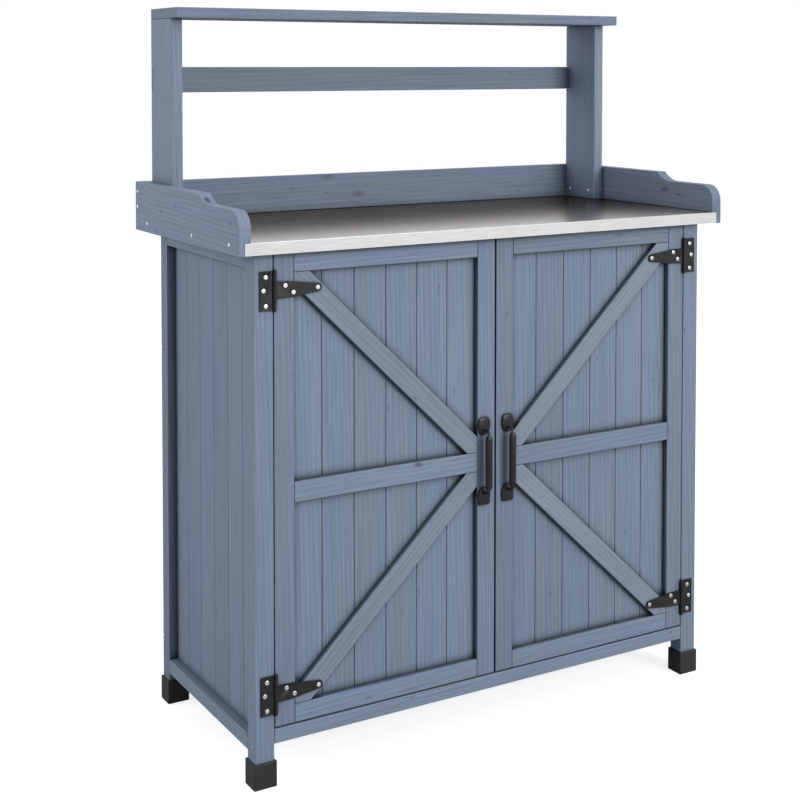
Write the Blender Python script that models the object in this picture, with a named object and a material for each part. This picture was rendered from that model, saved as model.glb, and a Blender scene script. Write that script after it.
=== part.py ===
"""Potting bench: a two-door cabinet on capped legs, a metal-faced worktop between low side and back
boards, and a raised shelf on two posts. Metres, +Z up, the front faces -Y. The origin is on the floor
at the centre of the footprint."""

import math

import bmesh
import bpy
from mathutils import Matrix, Vector

# Overall size and clearances
WIDTH = 0.980                 # across the side boards
DEPTH = 0.450                 # side boards, back to front
GAP = 0.0003                  # clearance between touching pieces
EASE = 0.0010                 # rounding on the edges of boards
CUT_MARGIN = 0.010            # how far a cutter runs past what it cuts
BACK = DEPTH / 2
FRONT = -DEPTH / 2

# Cabinet frame
CABINET_HALF = 0.4547         # centre line to the outer face of a leg
CABINET_FRONT = FRONT + 0.024
CABINET_BACK = BACK - 0.031
LEG_WIDTH = 0.0335
LEG_DEPTH = 0.029
RAIL_HEIGHT = 0.025
SIDE_RAIL_BOTTOM = 0.055
FRONT_RAIL_BOTTOM = 0.0675
FRONT_RAIL_TOP = 0.0915
FRAME_TOP = 0.8505            # top of the legs and of the top side rails
OPENING_HALF = CABINET_HALF - LEG_WIDTH

# Foot caps
CAP_HEIGHT = 0.0415
CAP_WALL = 0.0032
CAP_FLOOR = 0.0040
CAP_EASE = 0.0012

# Boarded panels
PANEL_RECESS = 0.0165         # side panel behind the outer face of the legs
PANEL_THICK = 0.009
BACK_RECESS = 0.010
GROOVE_WIDTH = 0.0024
GROOVE_DEPTH = 0.0012
SIDE_GROOVE_PITCH = 0.0585
SIDE_GROOVE_MIDDLE = BACK - 0.229
DOOR_GROOVE_PITCH = 0.0595
DOOR_GROOVE_START = 0.0329    # centre line to the first groove of a door
BACK_GROOVE_PITCH = 0.0700
PANEL_INSIDE = CABINET_HALF - PANEL_RECESS - PANEL_THICK

# Inside the cabinet
FLOOR_THICK = 0.0109
SHELF_HEIGHT = 0.466          # upper face of the inner shelf
SHELF_THICK = 0.012
SHELF_SETBACK = 0.010         # front legs to the front edge of the inner shelf
CLEAT_SIZE = 0.020

# Worktop
WORKTOP_HEIGHT = 0.8706       # upper face of the metal sheet
WORKTOP_BOTTOM = 0.8510
SHEET_THICK = 0.0008
SHEET_HALF = 0.4794
SHEET_FOLD = 0.0006           # bevel of the folded front edge
BOARD_EASE = 0.0004           # rounding on the board under the sheet

# Side and back boards around the worktop
BOARD_THICK = 0.021
BOARD_BOTTOM = 0.8500
BOARD_TOP = 0.9365
BOARD_FRONT_TOP = 0.9205
COVE_TOP = BACK - 0.294       # where the cove leaves the high part of the board
COVE_BOTTOM = BACK - 0.333
NOSE_RADIUS = 0.029
BACK_BOARD_INSET = 0.005
BOARD_INSIDE = WIDTH / 2 - BOARD_THICK

# Posts, rail and top shelf
POST_THICK = 0.0207
POST_BACK = BACK - BACK_BOARD_INSET - BOARD_THICK - GAP
POST_DEPTH = 0.096
SHELF_BOTTOM = 1.2253
TOP_SHELF_THICK = 0.0183
TOP_SHELF_DEPTH = 0.1212
TOP_SHELF_RIGHT = 0.4844      # the shelf runs past the right post
BACK_RAIL_BOTTOM = 1.0954
BACK_RAIL_TOP = 1.1410
BACK_RAIL_THICK = 0.007

# Doors: a boarded panel with a frame and braces fixed on its face
DOOR_GAP = 0.0014
DOOR_BOTTOM = 0.0941
DOOR_TOP = 0.8480
DOOR_INNER = 0.0015           # centre line to the meeting edge
DOOR_OUTER = OPENING_HALF - DOOR_GAP
DOOR_FRAME = 0.010
DOOR_PANEL = 0.009
STILE_WIDTH = 0.0350
DOOR_RAIL_WIDTH = 0.0300
MID_RAIL_BOTTOM = 0.4495
MID_RAIL_TOP = 0.4825
BRACE_WIDTH = 0.0330
BRACE_CORNER = 0.0280         # hinge stile to where the brace's edge meets the rail
UPPER_BRACE_END = 0.5095      # height of the same edge at the meeting stile
LOWER_BRACE_END = 0.4245
BRACE_OVERRUN = 0.200         # spare length before a brace is cut to fit

# Strap hinges
HINGE_HEIGHTS = {"upper": 0.7908, "lower": 0.1472}
PLATE_HEIGHT = 0.0630
PLATE_OUTER = 0.0257          # pin axis to the far edge of the plate
STRAP_ROOT = 0.0270           # height of the strap beside the pin
STRAP_SHOULDER = 0.0275       # pin axis to the start of the taper
STRAP_TIP = 0.0770            # pin axis to the centre of the round tip
STRAP_TIP_RADIUS = 0.0066
STRAP_SLOPE = 0.0008          # how much each edge has closed in at the shoulder
LEAF_EDGE = 0.0022            # pin axis to a leaf's edge, inside the knuckle's wall
LEAF_THICK = 0.0016
KNUCKLE_RADIUS = 0.0030
KNUCKLE_BORE = 0.0019
PIN_RADIUS = 0.0015
PIN_HEAD_RADIUS = 0.0024
PIN_HEAD_HEIGHT = 0.0010
PIN_X = OPENING_HALF - 0.0016
PIN_Y = CABINET_FRONT - GAP - KNUCKLE_RADIUS

# Handles
HANDLE_X = 0.0245
HANDLE_MIDDLE = 0.4665
HANDLE_PLATE_WIDTH = 0.0250
HANDLE_PLATE_HEIGHT = 0.0300
HANDLE_PLATE_THICK = 0.0030
HANDLE_PLATE_CORNER = 0.0060
HANDLE_HALF = 0.0757          # middle to the far end of a plate
GRIP_STANDOFF = 0.0165        # door face to the middle of the grip
GRIP_RADIUS = 0.0064
GRIP_HALF = 0.0430            # half of the straight part of the grip
GRIP_ROOT = 0.0545            # middle to where the grip grows out of a plate
GRIP_ROOT_RADIUS = 0.0038
GRIP_BEND_STEPS = 4
GRIP_SIDES = 16


def clear_scene():
    for item in list(bpy.data.objects):
        bpy.data.objects.remove(item, do_unlink=True)


def finish(name, red, green, blue, roughness, metallic=0.0):
    material = bpy.data.materials.new(name)
    material.use_nodes = True
    shader = material.node_tree.nodes["Principled BSDF"]
    shader.inputs["Base Color"].default_value = (red, green, blue, 1.0)
    shader.inputs["Roughness"].default_value = roughness
    shader.inputs["Metallic"].default_value = metallic
    return material


def make_object(name, shape, material, origin=(0.0, 0.0, 0.0), smooth=False):
    """Turns a bmesh built in world coordinates into an object whose origin is at the given place."""
    bmesh.ops.recalc_face_normals(shape, faces=shape.faces)
    mesh = bpy.data.meshes.new(name)
    bmesh.ops.translate(shape, verts=shape.verts, vec=-Vector(origin))
    shape.to_mesh(mesh)
    shape.free()
    mesh.materials.append(material)
    if smooth:
        mesh.shade_smooth()
        mesh.set_sharp_from_angle(angle=math.radians(35))
    item = bpy.data.objects.new(name, mesh)
    item.location = origin
    bpy.context.collection.objects.link(item)
    return item


def ease_edges(shape, width, segments=2):
    if width:
        sharp = [edge for edge in shape.edges if edge.calc_face_angle(0.0) > math.radians(30)]
        bmesh.ops.bevel(shape, geom=sharp, offset=width, segments=segments, profile=0.5,
                        affect="EDGES", clamp_overlap=True)


def combine(item, operand, operation):
    """Joins another solid to an object or cuts it out; the other solid stays behind as a guide."""
    operand.hide_render = True
    operand.display_type = "WIRE"
    change = item.modifiers.new(operand.name, "BOOLEAN")
    change.operation = operation
    change.solver = "EXACT"
    change.object = operand


def block(low, high):
    """A box between two opposite corners."""
    shape = bmesh.new()
    bmesh.ops.create_cube(shape, size=1.0)
    size = Vector(high) - Vector(low)
    middle = (Vector(high) + Vector(low)) / 2
    bmesh.ops.scale(shape, vec=size, verts=shape.verts)
    bmesh.ops.translate(shape, vec=middle, verts=shape.verts)
    return shape


def prism(outline, axis, start, end):
    """Extrudes an outline. Its points are (y, z), (x, z) or (x, y) for an axis of x, y or z."""
    place = {"x": lambda u, v, w: (w, u, v),
             "y": lambda u, v, w: (u, w, v),
             "z": lambda u, v, w: (u, v, w)}[axis]
    shape = bmesh.new()
    corners = [shape.verts.new(place(u, v, start)) for u, v in outline]
    face = shape.faces.new(corners)
    extruded = bmesh.ops.extrude_face_region(shape, geom=[face])
    moved = [item for item in extruded["geom"] if isinstance(item, bmesh.types.BMVert)]
    bmesh.ops.translate(shape, verts=moved, vec=Vector(place(0.0, 0.0, end - start)))
    bmesh.ops.recalc_face_normals(shape, faces=shape.faces)
    return shape


def board(name, low, high, material, ease=EASE, origin=(0.0, 0.0, 0.0)):
    shape = block(low, high)
    ease_edges(shape, ease)
    return make_object(name, shape, material, origin)


def arc(centre_u, centre_v, radius, start, end, steps):
    """Points along an arc, the angles in degrees."""
    points = []
    for step in range(steps + 1):
        angle = math.radians(start + (end - start) * step / steps)
        points.append((centre_u + radius * math.cos(angle), centre_v + radius * math.sin(angle)))
    return points


def mirrored(outline, side):
    """Flips an outline for the left (-1) or keeps it for the right (+1)."""
    return [(side * u, v) for u, v in outline]


def grooved_outline(start, end, face, back, grooves):
    """Cross-section of tongue-and-groove boards: flat on the back, V-grooves in the face."""
    inward = 1.0 if back > face else -1.0
    points = [(start, back), (start, face)]
    for groove in sorted(grooves):
        points.append((groove - GROOVE_WIDTH / 2, face))
        points.append((groove, face + inward * GROOVE_DEPTH))
        points.append((groove + GROOVE_WIDTH / 2, face))
    points += [(end, face), (end, back)]
    return points


def build_legs(wood, plastic):
    for side, side_name in ((-1, "left"), (1, "right")):
        for front in (True, False):
            end_name = "front" if front else "back"
            y_low = CABINET_FRONT if front else CABINET_BACK - LEG_DEPTH
            y_high = y_low + LEG_DEPTH
            x_low = min(side * CABINET_HALF, side * OPENING_HALF)
            x_high = x_low + LEG_WIDTH
            board(f"leg_{end_name}_{side_name}", (x_low, y_low, CAP_FLOOR + GAP),
                  (x_high, y_high, FRAME_TOP), wood)
            foot_cap(f"foot_cap_{end_name}_{side_name}", x_low, x_high, y_low, y_high, plastic)


def foot_cap(name, x_low, x_high, y_low, y_high, material):
    """A moulded socket that the leg stands in: a box whose top face is inset and pushed down."""
    shape = block((x_low - CAP_WALL, y_low - CAP_WALL, 0.0),
                  (x_high + CAP_WALL, y_high + CAP_WALL, CAP_HEIGHT))
    ease_edges(shape, CAP_EASE)
    top = max(shape.faces, key=lambda face: face.calc_center_median().z)
    bmesh.ops.inset_region(shape, faces=[top], thickness=CAP_WALL - CAP_EASE - GAP)
    pushed = bmesh.ops.extrude_discrete_faces(shape, faces=[top])["faces"]
    bmesh.ops.translate(shape, verts=pushed[0].verts, vec=(0.0, 0.0, CAP_FLOOR - CAP_HEIGHT))
    make_object(name, shape, material)


def build_rails(wood):
    between = OPENING_HALF - GAP
    board("front_bottom_rail", (-between, CABINET_FRONT, FRONT_RAIL_BOTTOM),
          (between, CABINET_FRONT + LEG_DEPTH, FRONT_RAIL_TOP), wood)
    board("back_bottom_rail", (-between, CABINET_BACK - LEG_DEPTH, SIDE_RAIL_BOTTOM),
          (between, CABINET_BACK, SIDE_RAIL_BOTTOM + RAIL_HEIGHT), wood)
    y_low = CABINET_FRONT + LEG_DEPTH + GAP
    y_high = CABINET_BACK - LEG_DEPTH - GAP
    for side, side_name in ((-1, "left"), (1, "right")):
        x_low = min(side * CABINET_HALF, side * OPENING_HALF)
        x_high = x_low + LEG_WIDTH
        for level, bottom in (("bottom", SIDE_RAIL_BOTTOM), ("top", FRAME_TOP - RAIL_HEIGHT)):
            board(f"side_{level}_rail_{side_name}", (x_low, y_low, bottom),
                  (x_high, y_high, bottom + RAIL_HEIGHT), wood)


def build_panels(wood):
    bottom = SIDE_RAIL_BOTTOM + RAIL_HEIGHT + GAP
    top = FRAME_TOP - RAIL_HEIGHT - GAP
    y_low = CABINET_FRONT + LEG_DEPTH + GAP
    y_high = CABINET_BACK - LEG_DEPTH - GAP
    grooves = [SIDE_GROOVE_MIDDLE + SIDE_GROOVE_PITCH * step for step in (-2, -1, 0, 1, 2)]
    for side, side_name in ((-1, "left"), (1, "right")):
        face = side * (CABINET_HALF - PANEL_RECESS)
        back = side * PANEL_INSIDE
        section = [(x, y) for y, x in grooved_outline(y_low, y_high, face, back, grooves)]
        make_object(f"side_panel_{side_name}", prism(section, "z", bottom, top), wood)
    face = CABINET_BACK - BACK_RECESS
    half = OPENING_HALF - GAP
    grooves = [BACK_GROOVE_PITCH * (step - 5) for step in range(11)]
    section = grooved_outline(-half, half, face, face - PANEL_THICK, grooves)
    make_object("back_panel", prism(section, "z", bottom, FRAME_TOP), wood)


def notched_outline(front_edge):
    """Plan of a board that fits between the side panels and is notched round the back legs."""
    wide = PANEL_INSIDE - GAP
    narrow = OPENING_HALF - GAP
    leg_face = CABINET_BACK - LEG_DEPTH - GAP
    rear = CABINET_BACK - BACK_RECESS - PANEL_THICK - GAP
    return [(-wide, front_edge), (wide, front_edge), (wide, leg_face), (narrow, leg_face),
            (narrow, rear), (-narrow, rear), (-narrow, leg_face), (-wide, leg_face)]


def build_inside(wood):
    floor_bottom = SIDE_RAIL_BOTTOM + RAIL_HEIGHT + GAP
    front_edge = CABINET_FRONT + LEG_DEPTH + GAP
    shape = prism(notched_outline(front_edge), "z", floor_bottom, floor_bottom + FLOOR_THICK)
    make_object("floor_panel", shape, wood)

    shelf_bottom = SHELF_HEIGHT - SHELF_THICK
    shelf_front = front_edge + SHELF_SETBACK
    shape = prism(notched_outline(shelf_front), "z", shelf_bottom, SHELF_HEIGHT)
    make_object("inner_shelf", shape, wood)
    for side, side_name in ((-1, "left"), (1, "right")):
        x_outer = side * (PANEL_INSIDE - GAP)
        x_inner = side * (PANEL_INSIDE - GAP - CLEAT_SIZE)
        board(f"shelf_cleat_{side_name}",
              (min(x_outer, x_inner), shelf_front, shelf_bottom - GAP - CLEAT_SIZE),
              (max(x_outer, x_inner), CABINET_BACK - LEG_DEPTH - GAP, shelf_bottom - GAP), wood)


def build_worktop(wood, metal):
    board_front = FRONT + SHEET_THICK + GAP
    board_back = BACK - BACK_BOARD_INSET
    board("worktop_board", (-SHEET_HALF, board_front, WORKTOP_BOTTOM),
          (SHEET_HALF, board_back, WORKTOP_HEIGHT - SHEET_THICK - GAP), wood, ease=BOARD_EASE)
    under = WORKTOP_HEIGHT - SHEET_THICK
    outer = [(board_back, WORKTOP_HEIGHT), (FRONT + SHEET_FOLD, WORKTOP_HEIGHT),
             (FRONT, WORKTOP_HEIGHT - SHEET_FOLD), (FRONT, WORKTOP_BOTTOM)]
    inner = [(FRONT + SHEET_THICK, WORKTOP_BOTTOM), (FRONT + SHEET_THICK, under), (board_back, under)]
    shape = prism(outer + inner, "x", -SHEET_HALF, SHEET_HALF)
    make_object("worktop_sheet", shape, metal)


def side_board_outline():
    """Side view of a side board: high at the back, a cove down to the low front, a round nose."""
    length = COVE_TOP - COVE_BOTTOM
    drop = BOARD_TOP - BOARD_FRONT_TOP
    radius = (length ** 2 + drop ** 2) / (2 * drop)
    sweep = math.degrees(math.asin(length / radius))
    points = [(FRONT, BOARD_BOTTOM), (BACK, BOARD_BOTTOM), (BACK, BOARD_TOP)]
    points += arc(COVE_BOTTOM, BOARD_FRONT_TOP + radius, radius, -90 + sweep, -90, 8)
    points += arc(FRONT + NOSE_RADIUS, BOARD_FRONT_TOP - NOSE_RADIUS, NOSE_RADIUS, 90, 180, 10)
    return points


def build_surround(wood):
    for side, side_name in ((-1, "left"), (1, "right")):
        outer = side * WIDTH / 2
        inner = side * BOARD_INSIDE
        shape = prism(side_board_outline(), "x", outer, inner)
        ease_edges(shape, EASE)
        item = make_object(f"side_board_{side_name}", shape, wood)
        # the rebate that the edge of the worktop sits in
        edge = side * (SHEET_HALF + GAP)
        far = side * (BOARD_INSIDE - CUT_MARGIN)
        rebate = block((min(edge, far), FRONT - CUT_MARGIN, BOARD_BOTTOM - CUT_MARGIN),
                       (max(edge, far), BACK + CUT_MARGIN, WORKTOP_HEIGHT + GAP))
        combine(item, make_object(f"rebate_{side_name}", rebate, wood), "DIFFERENCE")
    bottom = WORKTOP_HEIGHT + GAP
    half = BOARD_INSIDE - GAP
    board("back_board", (-half, BACK - BACK_BOARD_INSET - BOARD_THICK, bottom),
          (half, BACK - BACK_BOARD_INSET, BOARD_TOP), wood)


def build_upper(wood):
    post_front = POST_BACK - POST_DEPTH
    notch = POST_BACK - BACK_RAIL_THICK - GAP
    bottom = WORKTOP_HEIGHT + GAP
    top = SHELF_BOTTOM - GAP
    outline = [(post_front, bottom), (POST_BACK, bottom),
               (POST_BACK, BACK_RAIL_BOTTOM - GAP), (notch, BACK_RAIL_BOTTOM - GAP),
               (notch, BACK_RAIL_TOP + GAP), (POST_BACK, BACK_RAIL_TOP + GAP),
               (POST_BACK, top), (post_front, top)]
    for side, side_name in ((-1, "left"), (1, "right")):
        outer = side * (BOARD_INSIDE - GAP)
        inner = side * (BOARD_INSIDE - GAP - POST_THICK)
        shape = prism(outline, "x", outer, inner)
        ease_edges(shape, EASE)
        make_object(f"post_{side_name}", shape, wood)
    half = BOARD_INSIDE - GAP
    board("back_rail", (-half, POST_BACK - BACK_RAIL_THICK, BACK_RAIL_BOTTOM),
          (half, POST_BACK, BACK_RAIL_TOP), wood)
    board("top_shelf", (-half, POST_BACK - TOP_SHELF_DEPTH, SHELF_BOTTOM),
          (TOP_SHELF_RIGHT, POST_BACK, SHELF_BOTTOM + TOP_SHELF_THICK), wood)


def clip(outline, axis, limit, keep_above):
    """Cuts a convex outline along a straight line of constant x (axis 0) or z (axis 1)."""
    kept = []
    for index, point in enumerate(outline):
        before = outline[index - 1]
        inside = (point[axis] >= limit) == keep_above
        inside_before = (before[axis] >= limit) == keep_above
        if inside != inside_before:
            share = (limit - before[axis]) / (point[axis] - before[axis])
            kept.append(tuple(before[k] + share * (point[k] - before[k]) for k in (0, 1)))
        if inside:
            kept.append(point)
    return kept


def brace_outline(corner_z, end_z, rail_edge):
    """Diagonal strip for the right door, from the hinge corner to the meeting stile.

    Its far edge runs from the rail at corner_z to the meeting stile at end_z. The strip is cut to
    fit between both stiles and both rails.
    """
    hinge_side = DOOR_OUTER - STILE_WIDTH - GAP
    meeting_side = DOOR_INNER + STILE_WIDTH + GAP
    start = Vector((hinge_side - BRACE_CORNER, corner_z))
    end = Vector((meeting_side, end_z))
    along = (end - start).normalized()
    upper = corner_z > end_z
    across = Vector((-along.y, along.x)) * (BRACE_WIDTH if upper else -BRACE_WIDTH)
    start -= along * BRACE_OVERRUN
    end += along * BRACE_OVERRUN
    outline = [tuple(point) for point in (start, end, end + across, start + across)]
    outline = clip(outline, 0, hinge_side, False)
    outline = clip(outline, 0, meeting_side, True)
    outline = clip(outline, 1, corner_z, not upper)
    return clip(outline, 1, rail_edge, upper)


def build_door(side, wood, metal_black, bronze):
    side_name = "left" if side < 0 else "right"
    hinge = (side * PIN_X, PIN_Y, 0.0)
    face = CABINET_FRONT
    seam = CABINET_FRONT + DOOR_FRAME
    pieces = []

    def strip(name, x_near, x_far, bottom, top):
        low = (min(side * x_near, side * x_far), face, bottom)
        high = (max(side * x_near, side * x_far), seam, top)
        pieces.append(board(f"door_{side_name}_{name}", low, high, wood, origin=hinge))

    grooves = [side * (DOOR_GROOVE_START + DOOR_GROOVE_PITCH * step) for step in range(7)]
    section = grooved_outline(min(side * DOOR_INNER, side * DOOR_OUTER),
                              max(side * DOOR_INNER, side * DOOR_OUTER),
                              seam + GAP, seam + GAP + DOOR_PANEL, grooves)
    shape = prism(section, "z", DOOR_BOTTOM, DOOR_TOP)
    pieces.append(make_object(f"door_{side_name}_panel", shape, wood, hinge))

    stile_edge = DOOR_OUTER - STILE_WIDTH
    meeting_edge = DOOR_INNER + STILE_WIDTH
    top_rail_bottom = DOOR_TOP - DOOR_RAIL_WIDTH
    bottom_rail_top = DOOR_BOTTOM + DOOR_RAIL_WIDTH
    strip("hinge_stile", stile_edge, DOOR_OUTER, DOOR_BOTTOM, DOOR_TOP)
    strip("meeting_stile", DOOR_INNER, meeting_edge, DOOR_BOTTOM, DOOR_TOP)
    strip("top_rail", meeting_edge + GAP, stile_edge - GAP, top_rail_bottom, DOOR_TOP)
    strip("bottom_rail", meeting_edge + GAP, stile_edge - GAP, DOOR_BOTTOM, bottom_rail_top)
    strip("middle_rail", meeting_edge + GAP, stile_edge - GAP, MID_RAIL_BOTTOM, MID_RAIL_TOP)

    braces = {"upper_brace": brace_outline(top_rail_bottom - GAP, UPPER_BRACE_END, MID_RAIL_TOP + GAP),
              "lower_brace": brace_outline(bottom_rail_top + GAP, LOWER_BRACE_END, MID_RAIL_BOTTOM - GAP)}
    for name, outline in braces.items():
        shape = prism(mirrored(outline, side), "y", face, seam)
        ease_edges(shape, EASE)
        pieces.append(make_object(f"door_{side_name}_{name}", shape, wood, hinge))

    for level, height in HINGE_HEIGHTS.items():
        hinge_plate(f"hinge_{level}_{side_name}_plate", side, height, metal_black)
        hinge_pin(f"hinge_{level}_{side_name}_pin", side, height, metal_black)
        pieces.append(hinge_strap(f"hinge_{level}_{side_name}_strap", side, height, hinge, metal_black))
    pieces.append(handle(f"door_{side_name}_handle", side, hinge, bronze))

    axis = bpy.data.objects.new(f"door_{side_name}_axis", None)
    axis.location = hinge
    bpy.context.collection.objects.link(axis)
    for piece in pieces:
        piece.parent = axis
        piece.location = (0.0, 0.0, 0.0)


def round_bar(name, side, radius, bottom, top, material, steps=24):
    """A cylinder on the pin's axis, used to add a knuckle or to cut its bore."""
    outline = arc(side * PIN_X, PIN_Y, radius, 0, 360, steps)[:-1]
    return make_object(name, prism(outline, "z", bottom, top), material)


def hinge_plate(name, side, height, material):
    """Fixed plate on the leg, with one knuckle above the strap's and one below it."""
    half = PLATE_HEIGHT / 2
    inner_half = STRAP_ROOT / 2 + GAP
    far = PIN_X + PLATE_OUTER
    beside = PIN_X + KNUCKLE_RADIUS + GAP
    touching = PIN_X + LEAF_EDGE
    outline = [(far, height - half), (far, height + half), (touching, height + half),
               (touching, height + inner_half), (beside, height + inner_half),
               (beside, height - inner_half), (touching, height - inner_half),
               (touching, height - half)]
    back = CABINET_FRONT - GAP
    item = make_object(name, prism(mirrored(outline, side), "y", back - LEAF_THICK, back), material)
    for part_name, bottom, top in (("low", height - half, height - inner_half),
                                   ("high", height + inner_half, height + half)):
        tube = round_bar(f"{name}_{part_name}", side, KNUCKLE_RADIUS, bottom, top, material)
        combine(item, tube, "UNION")
    bore = round_bar(f"{name}_bore", side, KNUCKLE_BORE, height - half - CUT_MARGIN,
                     height + half + CUT_MARGIN, material)
    combine(item, bore, "DIFFERENCE")


def hinge_strap(name, side, height, origin, material):
    """Tapered strap on the door, with the middle knuckle."""
    half = STRAP_ROOT / 2
    touching = PIN_X - LEAF_EDGE
    shoulder = PIN_X - STRAP_SHOULDER
    shoulder_half = half - STRAP_SLOPE
    tip = PIN_X - STRAP_TIP
    lean = math.degrees(math.asin((shoulder_half - STRAP_TIP_RADIUS) / (shoulder - tip)))
    outline = [(touching, height - half), (touching, height + half), (shoulder, height + shoulder_half)]
    outline += arc(tip, height, STRAP_TIP_RADIUS, 90 + lean, 270 - lean, 12)
    outline += [(shoulder, height - shoulder_half)]
    back = CABINET_FRONT - GAP
    item = make_object(name, prism(mirrored(outline, side), "y", back - LEAF_THICK, back), material)
    tube = round_bar(f"{name}_middle", side, KNUCKLE_RADIUS, height - half, height + half, material)
    combine(item, tube, "UNION")
    bore = round_bar(f"{name}_bore", side, KNUCKLE_BORE, height - half - CUT_MARGIN,
                     height + half + CUT_MARGIN, material)
    combine(item, bore, "DIFFERENCE")
    move_origin(item, origin)
    return item


def move_origin(item, origin):
    """Puts the origin on the joint axis while the shape stays where it is."""
    item.data.transform(Matrix.Translation(-Vector(origin)))
    item.location = origin


def hinge_pin(name, side, height, material):
    """Pin through the three knuckles, with a head at both ends."""
    half = PLATE_HEIGHT / 2 + GAP
    profile = [(0.0, -half - PIN_HEAD_HEIGHT), (PIN_HEAD_RADIUS, -half - PIN_HEAD_HEIGHT),
               (PIN_HEAD_RADIUS, -half), (PIN_RADIUS, -half),
               (PIN_RADIUS, half), (PIN_HEAD_RADIUS, half),
               (PIN_HEAD_RADIUS, half + PIN_HEAD_HEIGHT), (0.0, half + PIN_HEAD_HEIGHT)]
    make_object(name, turned(profile, side * PIN_X, PIN_Y, height, 20), material, smooth=True)


def turned(profile, x, y, z, steps):
    """Spins a profile of (radius, height) points about a vertical axis."""
    shape = bmesh.new()
    line = [shape.verts.new((x + radius, y, z + rise)) for radius, rise in profile]
    edges = [shape.edges.new((line[k], line[k + 1])) for k in range(len(line) - 1)]
    bmesh.ops.spin(shape, geom=line + edges, cent=(x, y, z), axis=(0.0, 0.0, 1.0),
                   angle=2 * math.pi, steps=steps, use_merge=True)
    bmesh.ops.remove_doubles(shape, verts=shape.verts, dist=0.00001)
    return shape


def handle_plate_outline(x, low, high):
    """Front view of one screw plate: an upright rectangle with round corners."""
    left = x - HANDLE_PLATE_WIDTH / 2 + HANDLE_PLATE_CORNER
    right = x + HANDLE_PLATE_WIDTH / 2 - HANDLE_PLATE_CORNER
    bottom = low + HANDLE_PLATE_CORNER
    top = high - HANDLE_PLATE_CORNER
    outline = arc(right, bottom, HANDLE_PLATE_CORNER, -90, 0, 4)
    outline += arc(right, top, HANDLE_PLATE_CORNER, 0, 90, 4)
    outline += arc(left, top, HANDLE_PLATE_CORNER, 90, 180, 4)
    outline += arc(left, bottom, HANDLE_PLATE_CORNER, 180, 270, 4)
    return outline


def handle(name, side, origin, material):
    """Pull with two screwed plates and a round grip that bows out between them."""
    x = side * HANDLE_X
    back = CABINET_FRONT - GAP
    item = make_object(name, grip_bar(x), material, smooth=True)
    far = HANDLE_HALF
    near = HANDLE_HALF - HANDLE_PLATE_HEIGHT
    for end_name, low, high in (("lower", -far, -near), ("upper", near, far)):
        outline = handle_plate_outline(x, HANDLE_MIDDLE + low, HANDLE_MIDDLE + high)
        plate = prism(outline, "y", back - HANDLE_PLATE_THICK, back)
        combine(item, make_object(f"{name}_{end_name}_plate", plate, material), "UNION")
    move_origin(item, origin)
    return item


def grip_path():
    """Centre line (y, height above the middle) and radius of the grip, from root to root."""
    root = CABINET_FRONT - GAP - HANDLE_PLATE_THICK / 2
    middle = CABINET_FRONT - GRIP_STANDOFF
    bend = []
    for step in range(GRIP_BEND_STEPS + 1):
        share = step / GRIP_BEND_STEPS
        bend.append((root + (middle - root) * math.sin(share * math.pi / 2),
                     GRIP_ROOT + (GRIP_HALF - GRIP_ROOT) * share,
                     GRIP_ROOT_RADIUS + (GRIP_RADIUS - GRIP_ROOT_RADIUS) * share))
    return bend + [(y, -rise, radius) for y, rise, radius in reversed(bend)]


def grip_bar(x):
    """A round bar swept along the grip's centre line, thinner at both ends."""
    path = grip_path()
    across = Vector((1.0, 0.0, 0.0))
    shape = bmesh.new()
    rings = []
    for index, (y, rise, radius) in enumerate(path):
        before = path[max(index - 1, 0)]
        after = path[min(index + 1, len(path) - 1)]
        along = Vector((0.0, after[0] - before[0], after[1] - before[1])).normalized()
        outward = along.cross(across)
        centre = Vector((x, y, HANDLE_MIDDLE + rise))
        ring = [shape.verts.new(centre + across * u + outward * v)
                for u, v in arc(0.0, 0.0, radius, 0, 360, GRIP_SIDES)[:-1]]
        rings.append(ring)
    for first, second in zip(rings, rings[1:]):
        for point in range(GRIP_SIDES):
            following = (point + 1) % GRIP_SIDES
            shape.faces.new((first[point], first[following], second[following], second[point]))
    shape.faces.new(rings[0])
    shape.faces.new(list(reversed(rings[-1])))
    return shape


def main():
    clear_scene()
    wood = finish("stained_fir", 0.165, 0.225, 0.320, 0.62)
    sheet = finish("galvanised_steel", 0.62, 0.63, 0.64, 0.35, 1.0)
    black = finish("black_hinge_steel", 0.022, 0.021, 0.020, 0.55, 0.6)
    bronze = finish("dark_bronze_handle", 0.035, 0.030, 0.027, 0.48, 0.7)
    plastic = finish("black_foot_plastic", 0.020, 0.020, 0.020, 0.60)
    build_legs(wood, plastic)
    build_rails(wood)
    build_panels(wood)
    build_inside(wood)
    build_worktop(wood, sheet)
    build_surround(wood)
    build_upper(wood)
    for side in (-1, 1):
        build_door(side, wood, black, bronze)


main()
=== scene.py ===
"""Looks of the potting bench: stained fir boards, a galvanised worktop, coated hinges with bright
screws, bronzed pulls and moulded foot caps, in plain soft studio light. Metres, +Z up, the doors
face -Y."""

import math
import random

import bmesh
import bpy
from mathutils import Euler, Matrix, Vector


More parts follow.
